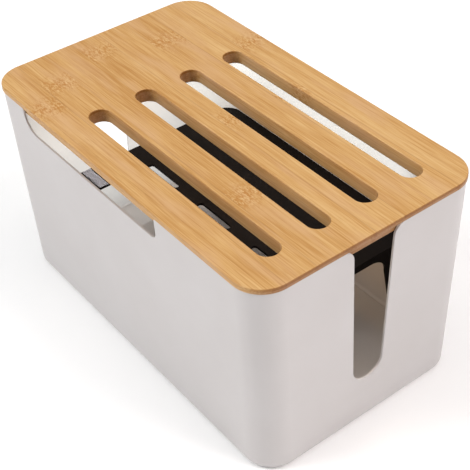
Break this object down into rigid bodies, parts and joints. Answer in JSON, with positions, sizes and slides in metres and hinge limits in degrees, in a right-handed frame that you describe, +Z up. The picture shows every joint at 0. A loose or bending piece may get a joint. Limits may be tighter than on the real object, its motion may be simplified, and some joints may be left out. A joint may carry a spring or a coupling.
{
  "type": "router storage box",
  "caption": "Open-top moulded box on pads with a slotted bamboo lid and a legged inner shelf, for keeping a router and its power strip together.",
  "frame": {"origin": "middle of the footprint, on the surface that the pads stand on", "axes": "+X along the box towards the end nearest the lid's slots, -Y towards the wall with the rim cut-out, +Z up"},
  "size_m": [0.3114, 0.1844, 0.169],
  "materials": {
    "white_shell": "satin",
    "bamboo": "satin",
    "black_shelf": "satin",
    "pad": "matte"
  },
  "bodies": {
    "box": {"box_shell": "white_shell", "base_pad_front_left": "pad", "base_pad_front_right": "pad", "base_pad_rear_left": "pad", "base_pad_rear_right": "pad"},
    "lid": {"bamboo_lid": "bamboo"},
    "shelf": {"inner_shelf": "black_shelf"}
  },
  "joints": [
    {"name": "lid_lift", "type": "slide", "parent": "box", "child": "lid", "axis": [0, 0, 1], "range_m": [0, 0.24]},
    {"name": "shelf_lift", "type": "slide", "parent": "box", "child": "shelf", "axis": [0, 0, 1], "range_m": [0, 0.168]}
  ],
  "couplings": [
    {"joint": "shelf_lift", "follows": "lid_lift", "ratio": 0.7}
  ]
}
